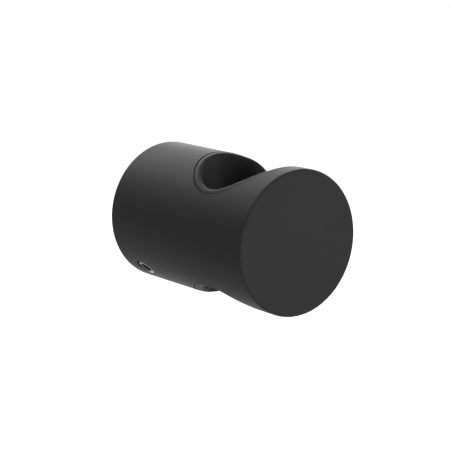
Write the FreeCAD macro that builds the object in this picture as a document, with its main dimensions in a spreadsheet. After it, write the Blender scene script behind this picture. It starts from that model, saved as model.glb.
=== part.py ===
"""Hand shower holder: a round wall bracket with a lined keyhole for the handle's cone and the hose.

The cylinder lies along Y with its back on the wall at y = 0 and its flat front at -Y.
+Z is up, and the hose slot opens sideways to +X. Millimetres.
"""
import FreeCAD
import Part
import math
import os
import Sketcher
from FreeCAD import Placement, Rotation, Vector

doc = FreeCAD.newDocument("hand_shower_holder")

# Driving dimensions
sheet = doc.addObject("Spreadsheet::Sheet", "sizes")
SIZES = [
    # Turned body
    ("body_radius", 20.0, "outside radius of the cylinder"),
    ("body_length", 59.0, "wall to the flat front"),
    ("front_round", 0.6, "rounding of the front edge"),
    ("rear_chamfer", 0.3, "edge break at the wall"),
    ("socket_wall", 4.0, "wall around the rear socket, which holds the screw's thread"),
    ("socket_chamfer", 0.5, "lead-in at the mouth of the socket"),
    # Seat for the handle's cone, and the slot that the hose goes in by
    ("front_wall", 4.45, "thinnest wall between the seat's hole and the flat front"),
    ("seat_top_radius", 13.3, "seat radius level with the top of the cylinder"),
    ("seat_taper", 0.2, "how much smaller that radius is level with the bottom"),
    ("slot_width", 19.8, "clear width of the hose slot"),
    # Plastic liner of the seat and slot
    ("liner_wall", 2.3, "thickness at the top of the seat"),
    ("liner_fit", 0.15, "gap between liner and body, each side"),
    ("liner_recess", 0.1, "how far the liner's ends lie below the cylinder"),
    ("rim_chamfer", 1.1, "chamfer on the inner edge, all round the keyhole"),
    ("corner_round", 4.0, "rounding of the body where seat and slot meet"),
    # Base on the wall
    ("base_thickness", 13.5, "thickness of the wall base"),
    ("base_clearance", 0.15, "gap between base and socket, each side"),
    ("base_end_gap", 1.0, "gap between the front of the base and the bottom of its socket"),
    ("groove_depth", 1.5, "depth of the clamping groove"),
    ("wall_hole_spacing", 18.0, "centre to centre of the wall screw holes"),
    ("wall_hole_diameter", 4.5, "clearance hole for a wall screw"),
    ("wall_head_diameter", 9.0, "countersink for the screw's head"),
    # Set screw that draws the body on to the base
    ("screw_diameter", 6.0, "nominal thread size"),
    ("screw_distance", 8.6, "wall to the axis of the set screw"),
    ("screw_angle", 45.0, "degrees below level, on the side away from the slot"),
    ("screw_recess", 0.25, "depth of the screw's end below the cylinder"),
    ("screw_clearance", 0.05, "gap between screw and hole, each side"),
    ("screw_chamfer", 0.5, "chamfer at the driven end"),
    ("point_diameter", 1.5, "flat at the tip of the cone point"),
    ("point_gap", 0.4, "tip of the screw to the floor of the groove"),
    ("flank_gap", 0.03, "cone point to the flank of the groove"),
    ("pull_offset", 0.4, "groove lies this much nearer the wall than the screw"),
    ("hex_width", 3.0, "hexagon socket across flats"),
    ("hex_depth", 2.5, "depth of the hexagon socket"),
]
for row, (alias, value, note) in enumerate(SIZES, start=1):
    sheet.set(f"A{row}", alias)
    sheet.set(f"B{row}", str(value))
    sheet.set(f"C{row}", note)
    sheet.setAlias(f"B{row}", alias)
doc.recompute()

# Sizes that follow from the driving ones
HOLE_RADIUS = "(sizes.seat_top_radius + sizes.liner_wall + sizes.liner_fit)"
SEAT_Y = f"({HOLE_RADIUS} + sizes.front_wall - sizes.body_length)"
HOLE_HALF_SLOT = "(sizes.slot_width / 2 + sizes.liner_wall + sizes.liner_fit)"
LINER_RADIUS = "(sizes.body_radius - sizes.liner_recess)"
SOCKET_RADIUS = "(sizes.body_radius - sizes.socket_wall)"
SOCKET_DEPTH = "(sizes.base_thickness + sizes.base_end_gap)"
BASE_RADIUS = f"({SOCKET_RADIUS} - sizes.base_clearance)"
GROOVE_FLOOR = f"({BASE_RADIUS} - sizes.groove_depth)"
GROOVE_Y = "(sizes.pull_offset - sizes.screw_distance)"
GROOVE_HALF_FLOOR = (
    "(sizes.point_diameter / 2 + sizes.pull_offset - sizes.point_gap + sqrt(2) * sizes.flank_gap)"
)
SCREW_RADIUS = "(sizes.screw_diameter / 2)"
SCREW_TIP = f"({GROOVE_FLOOR} + sizes.point_gap)"
SCREW_LENGTH = f"(sizes.body_radius - sizes.screw_recess - {SCREW_TIP})"


def value_of(expression):
    """The number that an expression on the sheet gives now."""
    return float(sheet.evalExpression(expression))


def new_body(name):
    """An empty part design body with a label of its own."""
    body = doc.addObject("PartDesign::Body", name)
    body.Label = name
    return body


def new_sketch(body, name, plane, offset=None):
    """A sketch on one of the body's origin planes, moved along the plane's normal by an expression."""
    sketch = body.newObject("Sketcher::SketchObject", name)
    support = [f for f in body.Origin.OriginFeatures if f.Role == plane][0]
    sketch.AttachmentSupport = [(support, "")]
    sketch.MapMode = "FlatFace"
    if offset:
        sketch.setExpression("AttachmentOffset.Base.z", offset)
    return sketch


def bind_point(sketch, geometry, end, x, y):
    """Fix one point of a sketch at two expressions."""
    for kind, name, expression, axis in (("DistanceX", "x", x, -2), ("DistanceY", "y", y, -1)):
        if expression == "0":
            sketch.addConstraint(Sketcher.Constraint("PointOnObject", geometry, end, axis))
            continue
        label = f"{name}_{geometry}_{end}"
        start = value_of(expression)
        index = sketch.addConstraint(Sketcher.Constraint(kind, -1, 1, geometry, end, start))
        sketch.renameConstraint(index, label)
        sketch.setExpression(f"Constraints.{label}", expression)


def bind_radius(sketch, geometry, expression):
    """Fix the radius of a circle or arc at an expression."""
    index = sketch.addConstraint(Sketcher.Constraint("Radius", geometry, value_of(expression)))
    sketch.renameConstraint(index, f"radius_{geometry}")
    sketch.setExpression(f"Constraints.radius_{geometry}", expression)


def draw_polygon(sketch, corners):
    """A closed outline of straight edges through corners given as pairs of expressions."""
    points = [Vector(value_of(x), value_of(y), 0) for x, y in corners]
    count = len(points)
    for i in range(count):
        sketch.addGeometry(Part.LineSegment(points[i], points[(i + 1) % count]), False)
    for i in range(count):
        sketch.addConstraint(Sketcher.Constraint("Coincident", i, 2, (i + 1) % count, 1))
        bind_point(sketch, i, 1, *corners[i])


def draw_circle(sketch, x, y, radius):
    """A full circle at two expressions."""
    centre = Vector(value_of(x), value_of(y), 0)
    index = sketch.addGeometry(Part.Circle(centre, Vector(0, 0, 1), value_of(radius)), False)
    bind_point(sketch, index, 3, x, y)
    bind_radius(sketch, index, radius)


def draw_keyhole(sketch, radius, half_slot, corner, reach):
    """A round hole about the seat's axis that opens to +x through a parallel slot.

    The corners where the two meet are rounded, tangent to both.
    """
    r, half, c = value_of(radius), value_of(half_slot), value_of(corner)
    centre_y, end_x = value_of(SEAT_Y), value_of(reach)
    corner_x = math.sqrt((r + c) ** 2 - (half + c) ** 2)
    turn = math.atan2(half + c, corner_x)
    up = Vector(0, 0, 1)
    seat = Part.Circle(Vector(0, centre_y, 0), up, r)
    near = Part.Circle(Vector(corner_x, centre_y - half - c, 0), up, c)
    far = Part.Circle(Vector(corner_x, centre_y + half + c, 0), up, c)
    sketch.addGeometry(Part.ArcOfCircle(seat, turn, 2 * math.pi - turn), False)
    sketch.addGeometry(Part.ArcOfCircle(near, math.pi / 2, math.pi - turn), False)
    sketch.addGeometry(Part.ArcOfCircle(far, math.pi + turn, 1.5 * math.pi), False)
    corners = [
        Vector(corner_x, centre_y - half, 0),
        Vector(end_x, centre_y - half, 0),
        Vector(end_x, centre_y + half, 0),
        Vector(corner_x, centre_y + half, 0),
    ]
    for i in range(3):
        sketch.addGeometry(Part.LineSegment(corners[i], corners[i + 1]), False)
    links = [
        ("Tangent", 0, 2, 1, 2),
        ("Tangent", 1, 1, 3, 1),
        ("Coincident", 3, 2, 4, 1),
        ("Coincident", 4, 2, 5, 1),
        ("Tangent", 5, 2, 2, 2),
        ("Tangent", 2, 1, 0, 1),
        ("Horizontal", 3),
        ("Horizontal", 5),
        ("Vertical", 4),
        ("Equal", 1, 2),
    ]
    for link in links:
        sketch.addConstraint(Sketcher.Constraint(*link))
    bind_point(sketch, 0, 3, "0", SEAT_Y)
    bind_radius(sketch, 0, radius)
    bind_radius(sketch, 1, corner)
    bind_point(sketch, 3, 2, reach, f"({SEAT_Y} - {half_slot})")
    index = sketch.addConstraint(Sketcher.Constraint("DistanceY", 4, 1, 4, 2, 2 * half))
    sketch.renameConstraint(index, "slot_width")
    sketch.setExpression("Constraints.slot_width", f"2 * {half_slot}")


def draw_axis(sketch):
    """A construction line along the seat's axis, for what is turned about it."""
    start = Vector(value_of(SEAT_Y), -value_of("sizes.body_radius"), 0)
    end = Vector(start.x, -start.y, 0)
    index = sketch.addGeometry(Part.LineSegment(start, end), True)
    bind_point(sketch, index, 1, SEAT_Y, "-sizes.body_radius")
    bind_point(sketch, index, 2, SEAT_Y, "sizes.body_radius")
    return (sketch, ["Axis0"])


def new_feature(body, kind, name, profile, **settings):
    """A part design feature made from one sketch."""
    feature = body.newObject(f"PartDesign::{kind}", name)
    feature.Profile = profile
    profile.Visibility = False
    for key, value in settings.items():
        setattr(feature, key, value)
    return feature


def dress_edges(body, kind, name, size, wanted):
    """A fillet or chamfer on every edge of the body's last feature for which wanted(edge) is true."""
    doc.recompute()
    base = body.Tip
    edges = base.Shape.Edges
    names = [f"Edge{i}" for i, edge in enumerate(edges, start=1) if wanted(edge)]
    if not names:
        raise RuntimeError(f"{name} finds no edge")
    feature = body.newObject(f"PartDesign::{kind}", name)
    feature.Base = (base, names)
    feature.setExpression("Radius" if kind == "Fillet" else "Size", size)
    return feature


def middle_of(edge):
    """The point half way along an edge."""
    return edge.valueAt((edge.FirstParameter + edge.LastParameter) / 2)


def make_body():
    """The turned cylinder, with its rear socket, the keyhole and the set screw's hole."""
    body = new_body("body")
    profile = new_sketch(body, "body_profile", "YZ_Plane")
    draw_polygon(profile, [
        ("0", f"({SOCKET_RADIUS} + sizes.socket_chamfer)"),
        ("0", "(sizes.body_radius - sizes.rear_chamfer)"),
        ("-sizes.rear_chamfer", "sizes.body_radius"),
        ("-sizes.body_length", "sizes.body_radius"),
        ("-sizes.body_length", "0"),
        (f"-{SOCKET_DEPTH}", "0"),
        (f"-{SOCKET_DEPTH}", SOCKET_RADIUS),
        ("-sizes.socket_chamfer", SOCKET_RADIUS),
    ])
    new_feature(body, "Revolution", "turned_blank", profile, ReferenceAxis=(profile, ["H_Axis"]))

    keyhole = new_sketch(body, "keyhole_outline", "XY_Plane")
    draw_keyhole(keyhole, HOLE_RADIUS, HOLE_HALF_SLOT, "sizes.corner_round", "(2 * sizes.body_radius)")
    cut = new_feature(body, "Pocket", "keyhole", keyhole, SideType="Symmetric")
    cut.setExpression("Length", "4 * sizes.body_radius")

    drilling = new_sketch(body, "screw_hole_outline", "YZ_Plane")
    drilling.AttachmentOffset = Placement(Vector(), Rotation(Vector(1, 0, 0), 135))
    drilling.setExpression("AttachmentOffset.Rotation.Angle", "180 - sizes.screw_angle")
    draw_circle(drilling, "-sizes.screw_distance", "0", f"({SCREW_RADIUS} + sizes.screw_clearance)")
    hole = new_feature(body, "Pocket", "screw_hole", drilling, Reversed=True)
    hole.setExpression("Length", "2 * sizes.body_radius")

    front_y = -value_of("sizes.body_length")

    def on_front(edge):
        return all(abs(v.Point.y - front_y) < 1e-6 for v in edge.Vertexes)

    dress_edges(body, "Fillet", "front_edge", "sizes.front_round", on_front)
    return body


def make_liner():
    """The plastic sleeve that lines the seat and the slot and follows the cylinder at both ends."""
    body = new_body("socket_liner")
    outside = new_sketch(body, "liner_outline", "XY_Plane")
    draw_keyhole(
        outside,
        f"({HOLE_RADIUS} - sizes.liner_fit)",
        f"({HOLE_HALF_SLOT} - sizes.liner_fit)",
        "(sizes.corner_round + sizes.liner_fit)",
        "(1.5 * sizes.body_radius)",
    )
    block = new_feature(body, "Pad", "liner_block", outside, SideType="Symmetric")
    block.setExpression("Length", "2 * sizes.body_radius")

    seat = new_sketch(body, "seat_profile", "YZ_Plane")
    draw_polygon(seat, [
        (SEAT_Y, "sizes.body_radius"),
        (f"({SEAT_Y} + sizes.seat_top_radius)", "sizes.body_radius"),
        (f"({SEAT_Y} + sizes.seat_top_radius - sizes.seat_taper)", "-sizes.body_radius"),
        (SEAT_Y, "-sizes.body_radius"),
    ])
    new_feature(body, "Groove", "tapered_seat", seat, ReferenceAxis=draw_axis(seat))

    slot = new_sketch(body, "slot_outline", "XY_Plane")
    near, far = (f"({SEAT_Y} {sign} sizes.slot_width / 2)" for sign in "-+")
    beyond = "(2 * sizes.body_radius)"
    draw_polygon(slot, [("0", near), (beyond, near), (beyond, far), ("0", far)])
    cut = new_feature(body, "Pocket", "hose_slot", slot, SideType="Symmetric")
    cut.setExpression("Length", "4 * sizes.body_radius")

    seat_y = value_of(SEAT_Y)
    seat_radius = value_of("sizes.seat_top_radius")
    half_slot = value_of("sizes.slot_width / 2")

    def on_corner(edge):
        point = middle_of(edge)
        upright = edge.BoundBox.ZLength > seat_radius
        beside_slot = abs(abs(point.y - seat_y) - half_slot) < 1e-3
        return upright and beside_slot and 0 < point.x < seat_radius

    corner = "sizes.corner_round + sizes.liner_fit + sizes.liner_wall"
    dress_edges(body, "Fillet", "slot_corners", corner, on_corner)

    trim = new_sketch(body, "liner_trim", "YZ_Plane")
    outside_radius = "(3 * sizes.body_radius)"
    ahead, behind = (f"({SEAT_Y} {sign} 2 * sizes.seat_top_radius)" for sign in "-+")
    draw_polygon(trim, [
        (behind, LINER_RADIUS),
        (behind, outside_radius),
        (ahead, outside_radius),
        (ahead, LINER_RADIUS),
    ])
    new_feature(body, "Groove", "trim_to_cylinder", trim, ReferenceAxis=(trim, ["H_Axis"]))

    liner_radius = value_of(LINER_RADIUS)
    half_wall = value_of("sizes.liner_wall / 2")

    def on_rim(edge):
        point = middle_of(edge)
        at_end = abs(math.hypot(point.x, point.z) - liner_radius) < 1e-3
        in_slot = point.x > 0 and abs(point.y - seat_y) < half_slot + half_wall
        in_seat = math.hypot(point.x, point.y - seat_y) < seat_radius + half_wall
        return at_end and (in_slot or in_seat)

    dress_edges(body, "Chamfer", "inner_rim", "sizes.rim_chamfer", on_rim)
    return body


def make_base():
    """The turned flange that is screwed to the wall and that the body slides over."""
    body = new_body("mounting_base")
    profile = new_sketch(body, "base_profile", "YZ_Plane")
    half_mouth = f"({GROOVE_HALF_FLOOR} + sizes.groove_depth)"
    shoulder = f"({GROOVE_Y} + {half_mouth})"
    draw_polygon(profile, [
        ("0", "0"),
        ("0", BASE_RADIUS),
        (shoulder, BASE_RADIUS),
        (shoulder, GROOVE_FLOOR),
        (f"({GROOVE_Y} - {GROOVE_HALF_FLOOR})", GROOVE_FLOOR),
        (f"({GROOVE_Y} - {half_mouth})", BASE_RADIUS),
        ("-sizes.base_thickness", BASE_RADIUS),
        ("-sizes.base_thickness", "0"),
    ])
    new_feature(body, "Revolution", "turned_flange", profile, ReferenceAxis=(profile, ["H_Axis"]))

    centres = new_sketch(body, "wall_hole_centres", "XZ_Plane", "sizes.base_thickness")
    for side in ("-", ""):
        draw_circle(centres, f"{side}sizes.wall_hole_spacing / 2", "0", "(sizes.wall_hole_diameter / 2)")
    doc.recompute()
    holes = new_feature(body, "Hole", "wall_holes", centres)
    doc.recompute()
    holes.DepthType = "ThroughAll"
    holes.HoleCutType = "Countersink"
    holes.HoleCutCustomValues = True
    holes.HoleCutCountersinkAngle = 90
    holes.setExpression("Diameter", "sizes.wall_hole_diameter")
    holes.setExpression("HoleCutDiameter", "sizes.wall_head_diameter")
    return body


def make_screw():
    """The set screw: cone point in the groove, hexagon socket in the driven end."""
    body = new_body("set_screw")
    profile = new_sketch(body, "screw_profile", "XZ_Plane")
    draw_polygon(profile, [
        ("0", "0"),
        ("(sizes.point_diameter / 2)", "0"),
        (SCREW_RADIUS, f"({SCREW_RADIUS} - sizes.point_diameter / 2)"),
        (SCREW_RADIUS, f"({SCREW_LENGTH} - sizes.screw_chamfer)"),
        (f"({SCREW_RADIUS} - sizes.screw_chamfer)", SCREW_LENGTH),
        ("0", SCREW_LENGTH),
    ])
    new_feature(body, "Revolution", "turned_screw", profile, ReferenceAxis=(profile, ["V_Axis"]))

    hexagon = new_sketch(body, "hexagon", "XY_Plane", SCREW_LENGTH)
    corner = "(sizes.hex_width / sqrt(3))"
    draw_polygon(hexagon, [
        (f"{corner} * cos({60 * k + 30}deg)", f"{corner} * sin({60 * k + 30}deg)") for k in range(6)
    ])
    socket = new_feature(body, "Pocket", "hexagon_socket", hexagon)
    socket.setExpression("Length", "sizes.hex_depth")

    direction = Rotation(Vector(0, 0, 1), Vector(-1, 0, 0))
    tilt = Rotation(Vector(0, 1, 0), -value_of("sizes.screw_angle"))
    body.Placement = Placement(Vector(), tilt * direction)
    reach = SCREW_TIP
    body.setExpression("Placement.Base.x", f"-{reach} * cos(sizes.screw_angle * 1deg)")
    body.setExpression("Placement.Base.y", "-sizes.screw_distance")
    body.setExpression("Placement.Base.z", f"-{reach} * sin(sizes.screw_angle * 1deg)")
    return body


PARTS = [make_body(), make_liner(), make_base(), make_screw()]
doc.recompute()

# Nothing is written unless every object is sound
for item in doc.Objects:
    if "Invalid" in item.State or "Error" in item.State:
        raise RuntimeError(f"{item.Label} is {item.State}")
for part in PARTS:
    if part.Shape.isNull() or not part.Shape.isValid() or len(part.Shape.Solids) != 1:
        raise RuntimeError(f"{part.Label} is not one sound solid")

os.makedirs("parts", exist_ok=True)
for part in PARTS:
    part.Shape.exportStep(f"parts/{part.Label}.step")
    box = part.Shape.optimalBoundingBox()
    extent = f"{box.XLength:.2f} x {box.YLength:.2f} x {box.ZLength:.2f} mm"
    print(f"{part.Label}: {part.Shape.Volume:.1f} mm3, {extent}")
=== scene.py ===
# %% [markdown]
# # A matt black hand shower holder
#
# The bracket is a short round bar that stands out from the wall. A tapered seat for the shower's handle
# goes straight down through it, and a slot beside the seat lets the hose in. Seat and slot share one
# moulded liner. The bar slips over a turned base that is screwed to the wall, and a small set screw
# underneath holds it there.
#
# The lesson takes the exact solids as they are and gives each one its finish. Two pieces are modelled
# again, because their small shapes matter close up: the liner, whose rim is softly rounded, and the
# threaded set screw.

# %% Load the solids
import math

import bmesh
import bpy
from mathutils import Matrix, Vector


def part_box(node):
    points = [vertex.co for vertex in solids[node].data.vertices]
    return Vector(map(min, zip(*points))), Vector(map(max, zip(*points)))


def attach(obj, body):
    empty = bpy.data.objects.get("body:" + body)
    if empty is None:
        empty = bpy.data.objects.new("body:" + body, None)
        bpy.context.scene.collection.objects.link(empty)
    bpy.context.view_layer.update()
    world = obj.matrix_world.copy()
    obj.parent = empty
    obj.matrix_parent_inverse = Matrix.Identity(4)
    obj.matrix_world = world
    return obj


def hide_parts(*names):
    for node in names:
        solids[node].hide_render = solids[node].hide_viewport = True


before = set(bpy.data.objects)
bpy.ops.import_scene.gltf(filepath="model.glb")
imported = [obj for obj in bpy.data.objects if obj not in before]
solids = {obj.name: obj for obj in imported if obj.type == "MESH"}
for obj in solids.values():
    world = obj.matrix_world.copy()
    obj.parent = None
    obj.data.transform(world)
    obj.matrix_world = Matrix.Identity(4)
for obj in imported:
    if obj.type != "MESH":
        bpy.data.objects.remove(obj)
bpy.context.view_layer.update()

MM = 0.001
print("solids:", sorted(solids))

# %% [markdown]
# ## Main measures
#
# The bar lies along Y. The wall is at y = 0, the flat front is at the far negative end, and the axis of the
# bar is the line x = z = 0. The boxes of the solids already hold the sizes that every new piece has to fit,
# so they are read from there and not typed in again.

# %% Read the bar and the seat
body_low, body_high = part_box("body")
liner_low, liner_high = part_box("socket_liner")
body_radius = body_high.z
centre = (body_low + body_high) / 2
seat_y = (liner_low.y + liner_high.y) / 2
print(f"bar radius {body_radius / MM:.2f} mm, length {-body_low.y / MM:.2f} mm")
print(f"the seat's axis stands at y = {seat_y / MM:.2f} mm")

# %% [markdown]
# ## Finishes
#
# Five materials cover the whole object: a matt black coating on the bar, a black plastic for the liner,
# stainless steel for the set screw, the same steel left dull in the screw's socket, and plain brass for the
# hidden base. Each starts from the same Principled shader, so one helper sets up the tree, and the surface
# detail comes from two shared node groups.

# %% Start a material


def new_material(name):
    """Give back a material, its node tree and its one Principled shader."""
    material = bpy.data.materials.new(name)
    material.use_nodes = True
    tree = material.node_tree
    tree.nodes.clear()
    output = tree.nodes.new("ShaderNodeOutputMaterial")
    shader = tree.nodes.new("ShaderNodeBsdfPrincipled")
    tree.links.new(shader.outputs["BSDF"], output.inputs["Surface"])
    print("material", name)
    return material, tree, shader


def new_group(name, inputs, outputs):
    """Give back an empty shader group with the named sockets, and its input and output nodes."""
    group = bpy.data.node_groups.new(name, "ShaderNodeTree")
    for direction, sockets in (("INPUT", inputs), ("OUTPUT", outputs)):
        for socket_name, kind in sockets.items():
            group.interface.new_socket(socket_name, in_out=direction, socket_type="NodeSocket" + kind)
    return group, group.nodes.new("NodeGroupInput"), group.nodes.new("NodeGroupOutput")


# %% [markdown]
# ### Drift
#
# No real finish has one tone and one shine all over. A noise that swings round one half can move both a
# little: it is centred on zero, scales the colour and is added to the roughness. These few nodes are the
# same for every kind of noise. They could be a group inside each group, but one level of groups is easier
# to follow in the editor, so a function puts them in.

# %% Let a noise move tone and shine


def add_drift(group, noise, given, result):
    """Let a noise change the colour and the roughness that a group is given, and put both out."""
    nodes, link = group.nodes, group.links.new
    centred = nodes.new("ShaderNodeMath")
    centred.operation = "SUBTRACT"
    centred.inputs[1].default_value = 0.5
    link(noise, centred.inputs[0])

    tone = nodes.new("ShaderNodeMath")
    tone.operation = "MULTIPLY_ADD"
    tone.inputs[2].default_value = 1.0
    link(centred.outputs[0], tone.inputs[0])
    link(given.outputs["Tone Drift"], tone.inputs[1])
    scaled = nodes.new("ShaderNodeVectorMath")
    scaled.operation = "SCALE"
    link(given.outputs["Color"], scaled.inputs[0])
    link(tone.outputs[0], scaled.inputs["Scale"])
    link(scaled.outputs[0], result.inputs["Color"])

    shine = nodes.new("ShaderNodeMath")
    shine.operation = "MULTIPLY_ADD"
    link(centred.outputs[0], shine.inputs[0])
    link(given.outputs["Shine Drift"], shine.inputs[1])
    link(given.outputs["Roughness"], shine.inputs[2])
    link(shine.outputs[0], result.inputs["Roughness"])


# %% [markdown]
# ### Fine grain
#
# A sprayed and baked coating is never quite even: it dries with a very fine grain, and its shine drifts a
# little from place to place. Moulded plastic has the same two effects at another scale. An image could hold
# them, but noise in object space needs no unwrapping and has no seams, so the group mixes a fine noise for
# the grain with a broad one for the drift. It gives out the colour, the roughness and the height of the
# surface.

# %% Build the grain group


def build_fine_grain():
    """A group with the height of a fine grain and a broad drift of colour and roughness."""
    group, given, result = new_group(
        "fine_grain",
        {"Color": "Color", "Roughness": "Float", "Grain Scale": "Float", "Drift Scale": "Float",
         "Tone Drift": "Float", "Shine Drift": "Float"},
        {"Color": "Color", "Roughness": "Float", "Height": "Float"},
    )
    nodes, link = group.nodes, group.links.new
    place = nodes.new("ShaderNodeTexCoord")

    grain = nodes.new("ShaderNodeTexNoise")
    grain.inputs["Detail"].default_value = 3
    grain.inputs["Roughness"].default_value = 0.55
    link(place.outputs["Object"], grain.inputs["Vector"])
    link(given.outputs["Grain Scale"], grain.inputs["Scale"])
    link(grain.outputs["Fac"], result.inputs["Height"])

    drift = nodes.new("ShaderNodeTexNoise")
    drift.inputs["Detail"].default_value = 2
    link(place.outputs["Object"], drift.inputs["Vector"])
    link(given.outputs["Drift Scale"], drift.inputs["Scale"])
    add_drift(group, drift.outputs["Fac"], given, result)
    return group


fine_grain = build_fine_grain()
print("group", fine_grain.name, "has", len(fine_grain.nodes), "nodes")

# %% [markdown]
# ### Turning marks
#
# The base and the set screw come off a lathe, and the tool leaves fine rings: circles on the faces, bands
# on the round sides. Both follow from one rule, the distance to a point far out on the turning axis. On a
# face across the axis that distance gives circles, and along the side it gives bands. The material's own
# Mapping node puts that point on the axis of its piece, so one group serves any axis.

# %% Build the turning group


def build_turning_marks():
    """A group that turns the distance from the pattern's origin into rings of height, tone and shine."""
    group, given, result = new_group(
        "turning_marks",
        {"Vector": "Vector", "Color": "Color", "Roughness": "Float", "Rings": "Float",
         "Tone Drift": "Float", "Shine Drift": "Float"},
        {"Color": "Color", "Roughness": "Float", "Height": "Float"},
    )
    nodes, link = group.nodes, group.links.new
    distance = nodes.new("ShaderNodeVectorMath")
    distance.operation = "LENGTH"
    link(given.outputs["Vector"], distance.inputs[0])

    rings = nodes.new("ShaderNodeTexNoise")
    rings.noise_dimensions = "1D"
    rings.inputs["Detail"].default_value = 2
    link(distance.outputs["Value"], rings.inputs["W"])
    link(given.outputs["Rings"], rings.inputs["Scale"])
    link(rings.outputs["Fac"], result.inputs["Height"])
    add_drift(group, rings.outputs["Fac"], given, result)
    return group


turning_marks = build_turning_marks()
print("group", turning_marks.name, "has", len(turning_marks.nodes), "nodes")

# %% Place a group in a material


def dress(tree, shader, group, values, bump_depth, bump_strength):
    """Put a surface group in a material, set its inputs and wire its three outputs to the shader."""
    surface = tree.nodes.new("ShaderNodeGroup")
    surface.node_tree = group
    for name, value in values.items():
        surface.inputs[name].default_value = value
    bump = tree.nodes.new("ShaderNodeBump")
    bump.inputs["Distance"].default_value = bump_depth
    bump.inputs["Strength"].default_value = bump_strength
    tree.links.new(surface.outputs["Color"], shader.inputs["Base Color"])
    tree.links.new(surface.outputs["Roughness"], shader.inputs["Roughness"])
    tree.links.new(surface.outputs["Height"], bump.inputs["Height"])
    tree.links.new(bump.outputs["Normal"], shader.inputs["Normal"])
    return surface


# %% [markdown]
# ### The black coating
#
# The bar is brass under a black coat that drinks most of the light. It has hardly any mirror shine, only a
# broad sheen where the view grazes it, which is why its top edge turns pale against a white room. A higher
# specular level looks like varnish, so the level is very low, and a middling roughness spreads what is left
# of the shine.

# %% Coat the bar
coating, tree, shader = new_material("matt_black_coating")
shader.inputs["Specular IOR Level"].default_value = 0.03
dress(tree, shader, fine_grain, {
    "Color": (0.035, 0.035, 0.0353, 1), "Roughness": 0.45, "Grain Scale": 7000.0, "Drift Scale": 60.0,
    "Tone Drift": 0.15, "Shine Drift": 0.06,
}, bump_depth=0.01 * MM, bump_strength=0.35)

# %% [markdown]
# ### The black plastic
#
# The liner is moulded from a hard black plastic. It is a little darker than the coating and just as matt,
# and its grain, which it copies from the mould, is coarser and weaker.

# %% Mould the plastic
plastic, tree, shader = new_material("black_plastic")
shader.inputs["Specular IOR Level"].default_value = 0.03
dress(tree, shader, fine_grain, {
    "Color": (0.027, 0.027, 0.0273, 1), "Roughness": 0.45, "Grain Scale": 3500.0, "Drift Scale": 90.0,
    "Tone Drift": 0.12, "Shine Drift": 0.05,
}, bump_depth=0.01 * MM, bump_strength=0.25)

# %% [markdown]
# ### The two metals
#
# The set screw is stainless steel and the base is brass with nothing on it. Both are metals, so their
# colour lies in the reflection. In a white room a metal shows nothing but white, so each is written darker
# than when it is polished. The socket of the screw, where a broach left rough walls, is rougher, and its
# colour is set nearly black as painted shade for the shadow deep in the hexagon. The pattern's origin is
# moved out
# along the axis of each piece: the base is turned about Y, and the screw about its own slanted axis, which
# is worked out here because its shape needs it later.

# %% Place the screw's axis
screw_low, screw_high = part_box("set_screw")
screw_middle = (screw_low + screw_high) / 2
screw_out = Vector((screw_middle.x, 0, screw_middle.z)).normalized()
screw_axis_point = Vector((0, screw_middle.y, 0))
screw_dip = math.degrees(math.atan2(-screw_out.z, -screw_out.x))
print(f"the screw leaves the bar at {screw_dip:.1f} degrees below level")

# %% Finish the metals
ring_distance = 60 * MM


def turned_metal(name, color, origin, roughness, rings):
    """A metal with turning rings about an axis that passes through the origin given."""
    material, tree, shader = new_material(name)
    shader.inputs["Metallic"].default_value = 1.0
    surface = dress(tree, shader, turning_marks, {
        "Color": color, "Roughness": roughness, "Rings": rings, "Tone Drift": 0.12, "Shine Drift": 0.12,
    }, bump_depth=0.02 * MM, bump_strength=0.4)
    place = tree.nodes.new("ShaderNodeTexCoord")
    mapping = tree.nodes.new("ShaderNodeMapping")
    mapping.inputs["Location"].default_value = -Vector(origin)
    tree.links.new(place.outputs["Object"], mapping.inputs["Vector"])
    tree.links.new(mapping.outputs["Vector"], surface.inputs["Vector"])
    return material


screw_centre = screw_axis_point + screw_out * ring_distance
base_centre = (0, -ring_distance, 0)
steel = turned_metal(
    "stainless_steel", (0.18, 0.1775, 0.173, 1), screw_centre, roughness=0.32, rings=9000.0,
)
# Painted shade: a nearly black steel for the socket, standing in for the shadow inside the hexagon.
socket_shade_steel = turned_metal(
    "socket_painted_shade_steel", (0.03, 0.03, 0.0295, 1), screw_centre, roughness=0.55, rings=4000.0,
)
brass = turned_metal(
    "bare_brass", (0.42, 0.29, 0.12, 1), base_centre, roughness=0.38, rings=2500.0,
)

# %% Give the solids their finishes
for name, material in (
    ("body", coating), ("socket_liner", plastic), ("set_screw", steel), ("mounting_base", brass),
):
    for slot in solids[name].material_slots:
        slot.material = material
    print(name, "wears", material.name)

# %% [markdown]
# ## The liner
#
# On the real object a plastic liner lines the seat and the slot. Seen from above it is a keyhole: a round
# seat, a straight slot that leaves it sideways, and a soft corner where they meet. Its rim follows the
# round bar, so it dips and climbs, and the edge towards the opening is generously rounded. That rounding is
# what the eye catches.
#
# It could be cut from a block with booleans, but an edge that climbs over a cylinder leaves ragged faces
# behind, and the bevel then fails. So the liner is made as a mould maker thinks of it: two sheets, the
# inner face and the outer face, are bent along the same keyhole, their edges are bridged by the rim, and
# the rim is bevelled.

# %% Measure the liner
liner_radius = liner_high.z
outer_seat = (liner_high.y - liner_low.y) / 2
wall = 2.3 * MM
seat_top = outer_seat - wall
seat_taper = 0.2 * MM
inner_slot = 9.9 * MM
outer_slot = inner_slot + wall
outer_corner = 4.15 * MM
inner_corner = outer_corner + wall
rim_round = 1.0 * MM
rim_round_steps = 10
rim_break = 0.3 * MM
print(f"rim on a radius of {liner_radius / MM:.2f} mm, seat {2 * seat_top / MM:.1f} mm wide at the top")

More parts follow.
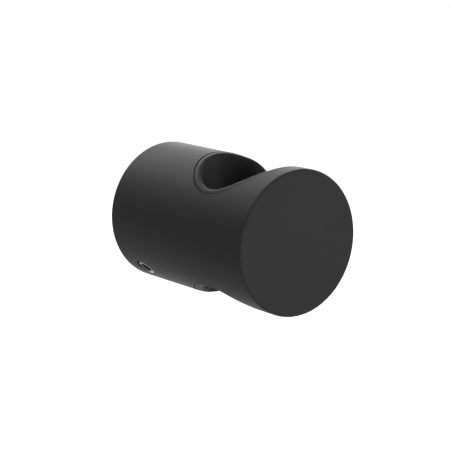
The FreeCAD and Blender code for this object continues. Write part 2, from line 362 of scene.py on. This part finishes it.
# %% [markdown]
# ### The keyhole line
#
# Both faces follow a line of the same kind, an arc round the seat, a corner arc and a straight run along
# the slot, so one small class holds it. It is measured from the seat's axis, for the half on the wall's
# side, and the other half is a mirror image. The corner's centre is the same for both faces, which keeps
# the wall even.

# %% Describe the keyhole line


class Keyhole:
    """Half of a keyhole outline: seat arc, corner arc and slot, as a function of the length along it."""

    def __init__(self, seat, slot, corner):
        self.seat, self.slot, self.corner = seat, slot, corner
        self.corner_y = slot + corner
        self.corner_x = math.sqrt((seat + corner) ** 2 - self.corner_y ** 2)
        self.touch = math.atan2(self.corner_y, self.corner_x)
        self.arc_end = seat * (math.pi - self.touch)
        self.corner_end = self.arc_end + corner * (math.pi / 2 - self.touch)

    def length_to(self, x):
        """Length along the line up to a place on its straight run."""
        return self.corner_end + x - self.corner_x

    def point(self, length, seat_change=0.0):
        """Place on the line, with the seat's radius changed and the change faded out round the corner."""
        if length >= self.corner_end:
            return self.corner_x + length - self.corner_end, self.slot
        if length <= self.arc_end:
            angle = math.pi - length / self.seat
            radius = self.seat + seat_change
            return radius * math.cos(angle), radius * math.sin(angle)
        share = (length - self.arc_end) / (self.corner_end - self.arc_end)
        angle = math.pi + self.touch + (length - self.arc_end) / self.corner
        fade = seat_change * (1 - share) ** 2 * (1 + 2 * share)
        x = self.corner_x + self.corner * math.cos(angle) + fade * math.cos(self.touch)
        y = self.corner_y + self.corner * math.sin(angle) + fade * math.sin(self.touch)
        return x, y

    def outward(self, x, y):
        """Level direction from a place near the line into the wall, for either half."""
        if x >= self.corner_x:
            return Vector((0, math.copysign(1, y), 0))
        if abs(math.atan2(y, x)) >= self.touch:
            return Vector((x, y, 0)).normalized()
        return Vector((self.corner_x - x, math.copysign(self.corner_y, y) - y, 0)).normalized()


inner_line = Keyhole(seat_top, inner_slot, inner_corner)
outer_line = Keyhole(outer_seat, outer_slot, outer_corner)
print(f"corners end at x = {inner_line.corner_x / MM:.2f} mm and {outer_line.corner_x / MM:.2f} mm")

# %% [markdown]
# ### Two bent sheets
#
# A sheet starts as a flat grid. Its columns are laid along the keyhole line and its rows up and down the
# wall, and its last column bulges out to the round end of the slot. The seat tapers towards the bottom, so
# that a handle's cone wedges in it. The outer sheet ends on the liner's outer cylinder. The inner one stops
# short of it, where a ball rolling along the finished edge would touch the wall: the ball's centre then
# runs on a smaller cylinder, above a line that lies one ball radius inside the wall. Last, the outermost
# vertices are put on their cylinder exactly, and the half sheet is mirrored.

# %% Bend a sheet
columns, rows = 72, 30
outermost = 0.999
slot_end = 14.0 * MM
merge_gap = 0.01 * MM


def unique(items):
    """The items without repeats, in the order they came in."""
    return list(dict.fromkeys(items))


def rim_height(x, radius):
    """Height at which a wall at this x meets a cylinder about the bar's axis."""
    return math.sqrt(max(radius ** 2 - x ** 2, 0.0))


def bent_sheet(mesh, line, taper, ball):
    """Lay a grid along half a keyhole line and up its wall, leave room for a rolling ball, and mirror it."""
    grid = bmesh.ops.create_grid(mesh, x_segments=columns, y_segments=rows, size=1.0)["verts"]
    reach = liner_radius - ball
    length = line.length_to(slot_end)
    end_height = rim_height(slot_end, reach)
    end_angle = math.acos(slot_end / reach)
    for vertex in grid:
        along, up = (vertex.co.x + 1) / 2, vertex.co.y
        bulge = reach * math.cos(end_angle * up) - slot_end
        x, y = line.point(along * length)
        centre_x = x + ball * line.outward(x, y).x
        end_rise = reach * math.sin(end_angle * up) - up * end_height
        height = up * rim_height(centre_x, reach) + along * end_rise
        change = -taper * (1 - height / liner_radius) / 2
        x, y = line.point(along * (length + bulge), change)
        if abs(up) > outermost or along > outermost:
            centre_x = x + ball * line.outward(x, y).x
            height = math.copysign(rim_height(centre_x, reach), height)
        vertex.co = (x, y, height)
    faces = unique(face for vertex in grid for face in vertex.link_faces)
    edges = unique(edge for vertex in grid for edge in vertex.link_edges)
    bmesh.ops.mirror(mesh, geom=grid + edges + faces, axis="Y", merge_dist=merge_gap)


liner_mesh = bmesh.new()
bent_sheet(liner_mesh, inner_line, taper=seat_taper, ball=rim_round)
inner_rim = [edge for edge in liner_mesh.edges if edge.is_boundary]
bent_sheet(liner_mesh, outer_line, taper=0.0, ball=0.0)
outer_rim = [edge for edge in liner_mesh.edges if edge.is_boundary and edge not in inner_rim]
print(len(liner_mesh.faces), "faces, and rims of", len(inner_rim), "and", len(outer_rim), "edges")

# %% [markdown]
# ### The rolling ball
#
# Where the seat cuts the bar's flank, rim and wall meet at less than fifty degrees, and on top at ninety. A
# bevel with a fixed width would be tight on the flank and wide on top. A mould maker rolls a ball along the
# edge, and the rounding keeps its radius while its width grows from the top to the flank. So the free edge
# of the wall is extruded step by step, and each new vertex goes on the ball's surface, on the way from the
# wall to the cylinder.

# %% Roll the rounding


def edges_of(made):
    """The edges among what an operator made."""
    return [item for item in made if isinstance(item, bmesh.types.BMEdge)]


def roll_rounding(mesh, line, rim, radius, steps):
    """Extrude a free edge round a rolling ball, up to where the ball touches the outer cylinder."""
    path = {}
    for vertex in {vertex for edge in rim for vertex in edge.verts}:
        into_wall = line.outward(vertex.co.x, vertex.co.y)
        ball = vertex.co + radius * into_wall
        path[vertex] = (ball, -into_wall, Vector((ball.x, 0, ball.z)).normalized())
    for step in range(1, steps + 1):
        made = bmesh.ops.extrude_edge_only(mesh, edges=rim)["geom"]
        rim = [edge for edge in edges_of(made) if edge.is_boundary]
        fresh = {}
        for vertex in {vertex for edge in rim for vertex in edge.verts}:
            side = next(edge for edge in vertex.link_edges if not edge.is_boundary)
            fresh[vertex] = path[side.other_vert(vertex)]
            ball, start, end = fresh[vertex]
            vertex.co = ball + radius * start.slerp(end, step / steps)
        path = fresh
    return rim


inner_rim = roll_rounding(liner_mesh, inner_line, inner_rim, rim_round, rim_round_steps)
print("the rounding ends on", len(inner_rim), "edges")

# %% [markdown]
# ### Closing the shell
#
# Bridging the two free edges makes the flat land of the rim and closes the shell. Its faces have to agree
# on what is outside before the small break on the outer edge is bevelled, or the bevel turns inside out.

# %% Close the liner
bmesh.ops.bridge_loops(liner_mesh, edges=inner_rim + outer_rim)
bmesh.ops.recalc_face_normals(liner_mesh, faces=liner_mesh.faces[:])
bmesh.ops.bevel(
    liner_mesh, geom=outer_rim, offset=rim_break, offset_type="OFFSET", affect="EDGES", segments=2,
    profile=0.5, material=-1, clamp_overlap=False, loop_slide=True,
)
bmesh.ops.translate(liner_mesh, verts=liner_mesh.verts[:], vec=(0, seat_y, 0))
print("open edges:", sum(not edge.is_manifold for edge in liner_mesh.edges))
print(f"volume {liner_mesh.calc_volume() / MM ** 3:.0f} cubic mm")

# %% [markdown]
# ### From mesh to piece
#
# A finished mesh becomes an object in the same few steps each time: smooth faces, its material and the body
# it rides on, and the solid it stands for is hidden. Weighted normals keep the large faces flat and leave
# the shading of the bend to the small ones.

# %% Turn a mesh into a piece


def finish_piece(mesh, name, materials, replaced):
    """Write a bmesh to an object that stands in for a solid."""
    data = bpy.data.meshes.new(name)
    for face in mesh.faces:
        face.smooth = True
    mesh.to_mesh(data)
    mesh.free()
    for material in materials:
        data.materials.append(material)
    piece = bpy.data.objects.new(name, data)
    bpy.context.scene.collection.objects.link(piece)
    shading = piece.modifiers.new("shading", "WEIGHTED_NORMAL")
    shading.weight = 80
    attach(piece, "root")
    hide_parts(replaced)
    print(name, "has", len(data.polygons), "faces")


finish_piece(liner_mesh, "moulded_liner", [plastic], "socket_liner")

# %% [markdown]
# ## The set screw
#
# The screw that clamps the bar has no head. It is a short threaded rod with a hexagon socket at one end and
# a cone point at the other, and only the socket end shows, as a bright ring low on the bar. A plain rod
# with a bump for the thread would look right in the hole, but a part that is taken out and looked at needs
# the real thread. A helix is a profile that is turned and shifted at once, which is just what spin does
# with its dvec.
#
# The screw lies slanted in its box, so its length can't be read off there. But the box touches the rims of
# its two end faces, and the distance of each face along the axis follows from that.

# %% Measure the screw
thread_radius = 3.0 * MM
pitch = 1.0 * MM
thread_depth = 0.541 * MM
crest_share, root_share = 1 / 8, 1 / 4
turn_steps = 48
tip_radius = 0.75 * MM
solid_chamfer = 0.5 * MM
end_chamfer = 0.25 * MM
socket_width = 3.0 * MM
socket_depth = 2.5 * MM
countersink_width, countersink_depth = 0.15 * MM, 0.25 * MM
drill_radius = 0.96 * socket_width / 2
drill_end_radius, drill_end_depth = 0.05 * MM, 0.75 * MM
lean, drop = -screw_out.x, -screw_out.z
tip_distance = (tip_radius * drop - screw_high.x) / lean
end_distance = ((solid_chamfer - thread_radius) * drop - screw_low.x) / lean
screw_length = end_distance - tip_distance
print(f"set screw {2 * thread_radius / MM:.0f} mm thick and {screw_length / MM:.2f} mm long")

# %% [markdown]
# ### Thread
#
# The chain of vertices is the thread's profile over a few turns more than needed: crest, flank, root,
# flank. The crest takes an eighth of the pitch and the root a quarter, as on any metric screw. After the
# spin its last copy lies on the first one, a turn further on, and merging joins them. Level cuts then trim
# the rod to length and put an edge where the point or the chamfer begins, and every vertex that is outside
# their cones is pulled in to them.

# %% Spin the thread
screw_mesh = bmesh.new()
chain = []
first_turn = -2
last_turn = math.ceil(screw_length / pitch) + 1
flank_share = (1 - crest_share - root_share) / 2
root_radius = thread_radius - thread_depth
for turn in range(first_turn, last_turn + 1):
    for share, radius in (
        (0, thread_radius), (crest_share, thread_radius),
        (crest_share + flank_share, root_radius), (1 - flank_share, root_radius),
    ):
        chain.append(screw_mesh.verts.new((radius, 0, (turn + share) * pitch)))
profile = [screw_mesh.edges.new(pair) for pair in zip(chain, chain[1:])]
bmesh.ops.spin(
    screw_mesh, geom=chain + profile, cent=(0, 0, 0), axis=(0, 0, 1), dvec=(0, 0, pitch / turn_steps),
    angle=2 * math.pi, steps=turn_steps, use_merge=False,
)
bmesh.ops.remove_doubles(screw_mesh, verts=screw_mesh.verts[:], dist=merge_gap)
print("thread of", len(screw_mesh.faces), "faces")

# %% Trim the rod and turn its ends


def level_cut(mesh, height, clear_below=False, clear_above=False):
    """Cut a mesh level at a height, clear away a side if asked, and give back the edges of the cut."""
    everything = mesh.verts[:] + mesh.edges[:] + mesh.faces[:]
    made = bmesh.ops.bisect_plane(
        mesh, geom=everything, plane_co=(0, 0, height), plane_no=(0, 0, 1),
        clear_inner=clear_below, clear_outer=clear_above,
    )
    return edges_of(made["geom_cut"])


cone_top = thread_radius - tip_radius
for height in (cone_top, cone_top - thread_depth, screw_length - end_chamfer):
    level_cut(screw_mesh, height)
tip_edges = level_cut(screw_mesh, 0.0, clear_below=True)
end_edges = level_cut(screw_mesh, screw_length, clear_above=True)
for vertex in screw_mesh.verts:
    radius = math.hypot(vertex.co.x, vertex.co.y)
    allowed = min(radius, tip_radius + vertex.co.z, thread_radius - end_chamfer + screw_length - vertex.co.z)
    vertex.co.x *= allowed / radius
    vertex.co.y *= allowed / radius
print("trimmed to", len(screw_mesh.faces), "faces")

# %% [markdown]
# ### Point and socket
#
# The point is closed with one face. At the other end a flat ring leads to a small countersink, which leads
# to the hexagon, and under the hexagon the drill has left its own cone. Loops at different heights are
# bridged, and the hexagon's six sides are divided first, so that each vertex finds its partner. Two loops
# in one plane are another matter: a bridge between them can twist and turn everything behind it inside out,
# so they are filled. What lies behind the mouth is the work of broach and drill, and it takes the screw's
# second material, a rough steel whose colour is set nearly black as painted shade for the socket's dark
# inside.

# %% Close the point and draw the socket's rings
bmesh.ops.contextual_create(screw_mesh, geom=tip_edges)


def ring(mesh, radius, height, sides):
    """A closed loop with as many edges as a turn has steps, in a circle or along a few even sides."""
    corners = bmesh.ops.create_circle(mesh, segments=sides, radius=radius, cap_ends=False)["verts"]
    bmesh.ops.translate(mesh, verts=corners, vec=(0, 0, height))
    edges = unique(edge for vertex in corners for edge in vertex.link_edges)
    if sides < turn_steps:
        made = bmesh.ops.subdivide_edges(mesh, edges=edges, cuts=turn_steps // sides - 1)
        edges = edges_of(made["geom_split"])
    return edges


hexagon_radius = socket_width / math.sqrt(3)
socket_floor = screw_length - socket_depth
mouth = ring(screw_mesh, hexagon_radius + countersink_width, screw_length, sides=turn_steps)
throat = ring(screw_mesh, hexagon_radius, screw_length - countersink_depth, sides=6)
bottom = ring(screw_mesh, hexagon_radius, socket_floor, sides=6)
drill = ring(screw_mesh, drill_radius, socket_floor, sides=turn_steps)
drill_end = ring(screw_mesh, drill_end_radius, socket_floor - drill_end_depth, sides=turn_steps)
print("the socket's rings have", [len(loop) for loop in (mouth, throat, bottom, drill, drill_end)], "edges")

# %% Sink the socket
socket_merge_gap = 0.002 * MM
for flat_ring in (end_edges + mouth, bottom + drill):
    bmesh.ops.triangle_fill(screw_mesh, use_beauty=True, edges=flat_ring)
outside = set(screw_mesh.faces)
for pair in (mouth + throat, throat + bottom, drill + drill_end):
    bmesh.ops.bridge_loops(screw_mesh, edges=pair)
bmesh.ops.contextual_create(screw_mesh, geom=drill_end)
for face in set(screw_mesh.faces) - outside:
    # Painted shade: the socket's faces take the nearly black steel that stands in for its shadow.
    face.material_index = 1
bmesh.ops.remove_doubles(screw_mesh, verts=screw_mesh.verts[:], dist=socket_merge_gap)
bmesh.ops.recalc_face_normals(screw_mesh, faces=screw_mesh.faces[:])
print("open edges:", sum(not edge.is_manifold for edge in screw_mesh.edges))
print(f"volume {screw_mesh.calc_volume() / MM ** 3:.1f} cubic mm")

# %% Drive the screw into the bar
upright = screw_out.to_track_quat("Z", "Y").to_matrix().to_4x4()
upright.translation = screw_axis_point + screw_out * tip_distance
bmesh.ops.transform(screw_mesh, matrix=upright, verts=screw_mesh.verts[:])
finish_piece(screw_mesh, "threaded_set_screw", [steel, socket_shade_steel], "set_screw")

# %% [markdown]
# ## The studio
#
# The bracket is seen against plain white. World and floor show as white to the camera and in reflections,
# while the light on the object itself comes from seven soft lamps at a plain level, so that a black coat
# stays black. The floor lies well below the bracket, which hangs on a wall in use, so its soft shadow falls
# outside the picture.

# %% Lay the floor
floor_drop = 135 * MM
floor_size = 12.0
bpy.ops.mesh.primitive_plane_add(size=floor_size, location=(0, 0, -floor_drop))
floor = bpy.context.object
floor.name = "floor"
print(f"floor {floor_drop / MM:.0f} mm below the bar's axis")

# %% [markdown]
# ### White that lights nothing
#
# A world or a floor that simply shone white would light the object from all sides and turn a black coat
# grey. A Light Path node tells apart the rays that see a surface directly, from the camera, in a reflection
# or through glass, from those that only gather its light. So one function makes a mask of the first kind,
# for both.
#
# The lamps light the floor too, and a floor that glows evenly on top of that would drown the object's
# shadow. So the glow dips round the place where the shadow falls, to about what the lamps leave to white,
# and is full further out.

# %% Mask the direct rays


def seen_directly(tree):
    """A mask of the rays that come from the camera, a reflection or a glass."""
    path = tree.nodes.new("ShaderNodeLightPath")
    last = path.outputs["Is Camera Ray"]
    for name in ("Is Glossy Ray", "Is Transmission Ray"):
        either = tree.nodes.new("ShaderNodeMath")
        either.operation = "MAXIMUM"
        tree.links.new(last, either.inputs[0])
        tree.links.new(path.outputs[name], either.inputs[1])
        last = either.outputs[0]
    return last


# %% Let the floor glow
shadow_middle = (0.0, -0.1, 0.0)
shadow_reach, glow_full = 0.14, 0.3
glow_low = 0.62
white, tree, shader = new_material("white_floor")
shader.inputs["Base Color"].default_value = (0.5, 0.5, 0.5, 1)
shader.inputs["Roughness"].default_value = 0.9
shader.inputs["Specular IOR Level"].default_value = 0.0
place = tree.nodes.new("ShaderNodeTexCoord")
from_shadow = tree.nodes.new("ShaderNodeVectorMath")
from_shadow.operation = "DISTANCE"
from_shadow.inputs[1].default_value = shadow_middle
tree.links.new(place.outputs["Object"], from_shadow.inputs[0])
glow = tree.nodes.new("ShaderNodeMapRange")
glow.interpolation_type = "SMOOTHSTEP"
glow.inputs["From Min"].default_value = shadow_reach
glow.inputs["From Max"].default_value = glow_full
glow.inputs["To Min"].default_value = glow_low
tree.links.new(from_shadow.outputs["Value"], glow.inputs["Value"])
tree.links.new(glow.outputs["Result"], shader.inputs["Emission Color"])
tree.links.new(seen_directly(tree), shader.inputs["Emission Strength"])
floor.data.materials.append(white)

# %% Fill the world
world = bpy.data.worlds.new("studio")
bpy.context.scene.world = world
world.use_nodes = True
tree = world.node_tree
tree.nodes.clear()
surround = tree.nodes.new("ShaderNodeBackground")
surround.inputs["Color"].default_value = (1, 1, 1, 1)
tree.links.new(seen_directly(tree), surround.inputs["Strength"])
world_output = tree.nodes.new("ShaderNodeOutputWorld")
tree.links.new(surround.outputs["Background"], world_output.inputs["Surface"])
print("world", world.name, "has", len(tree.nodes), "nodes")

# %% [markdown]
# ### Lamps
#
# A matt cylinder shows its lamps as broad bands of light along its side, so each band in the picture asks
# for a lamp at one azimuth. The one in front lights the flat front, the ones behind and above make the pale
# top, and the low ones on the right send light through the slot onto the liner. All are of one size and
# stand equally far off, and they differ only in direction and power.

# %% Hang the lamps
lamp_size = 0.36
lamp_distance = 0.7


def aim(azimuth, elevation):
    """The direction from the object to something seen at an azimuth and an elevation, in degrees."""
    turn, lift = math.radians(azimuth), math.radians(elevation)
    return Vector((math.sin(turn) * math.cos(lift), -math.cos(turn) * math.cos(lift), math.sin(lift)))


def soft_light(name, azimuth, elevation, power):
    """A round soft light that faces the bracket."""
    data = bpy.data.lights.new(name, "AREA")
    data.shape = "DISK"
    data.size = lamp_size
    data.energy = power
    light = bpy.data.objects.new(name, data)
    bpy.context.scene.collection.objects.link(light)
    outward = aim(azimuth, elevation)
    light.location = centre + outward * lamp_distance
    light.rotation_mode = "QUATERNION"
    light.rotation_quaternion = outward.to_track_quat("Z", "Y")


for name, azimuth, elevation, power in (
    ("front_light", -15, 4, 2.83),
    ("right_light", 51, 4, 1.12),
    ("top_light", -38, 85, 1.45),
    ("back_right_light", 141, 38, 1.07),
    ("back_light", 171, 38, 2.04),
    ("back_left_light", -158, 38, 1.66),
    ("low_back_light", 141, 14, 0.78),
):
    soft_light(name, azimuth, elevation, power)
    print(f"{name} at {azimuth}, {elevation} degrees with {power} W")

# %% [markdown]
# ## The camera
#
# The picture is taken from the left of the front and a little above, through a long lens. The flat front
# turns about 38 degrees away, so it shows as an upright oval, and the slight view from above opens the
# seat.

# %% Place the camera
camera_azimuth, camera_elevation = -38.292, 12.14
camera_distance = 0.4291
focal_length = 122.69
shift_right, shift_up = -0.001345, 0.000107
outward = aim(camera_azimuth, camera_elevation)
right = Vector((math.cos(math.radians(camera_azimuth)), math.sin(math.radians(camera_azimuth)), 0))
up = outward.cross(right)
lens = bpy.data.cameras.new("camera")
lens.lens = focal_length
lens.sensor_width = 36.0
lens.sensor_fit = "HORIZONTAL"
lens.clip_start = 0.01
camera = bpy.data.objects.new("camera", lens)
bpy.context.scene.collection.objects.link(camera)
camera.location = centre + outward * camera_distance + right * shift_right + up * shift_up
camera.rotation_mode = "QUATERNION"
camera.rotation_quaternion = outward.to_track_quat("Z", "Y")
bpy.context.scene.camera = camera
bpy.context.scene.view_settings.view_transform = "Standard"
print("camera", [round(v, 4) for v in camera.location])
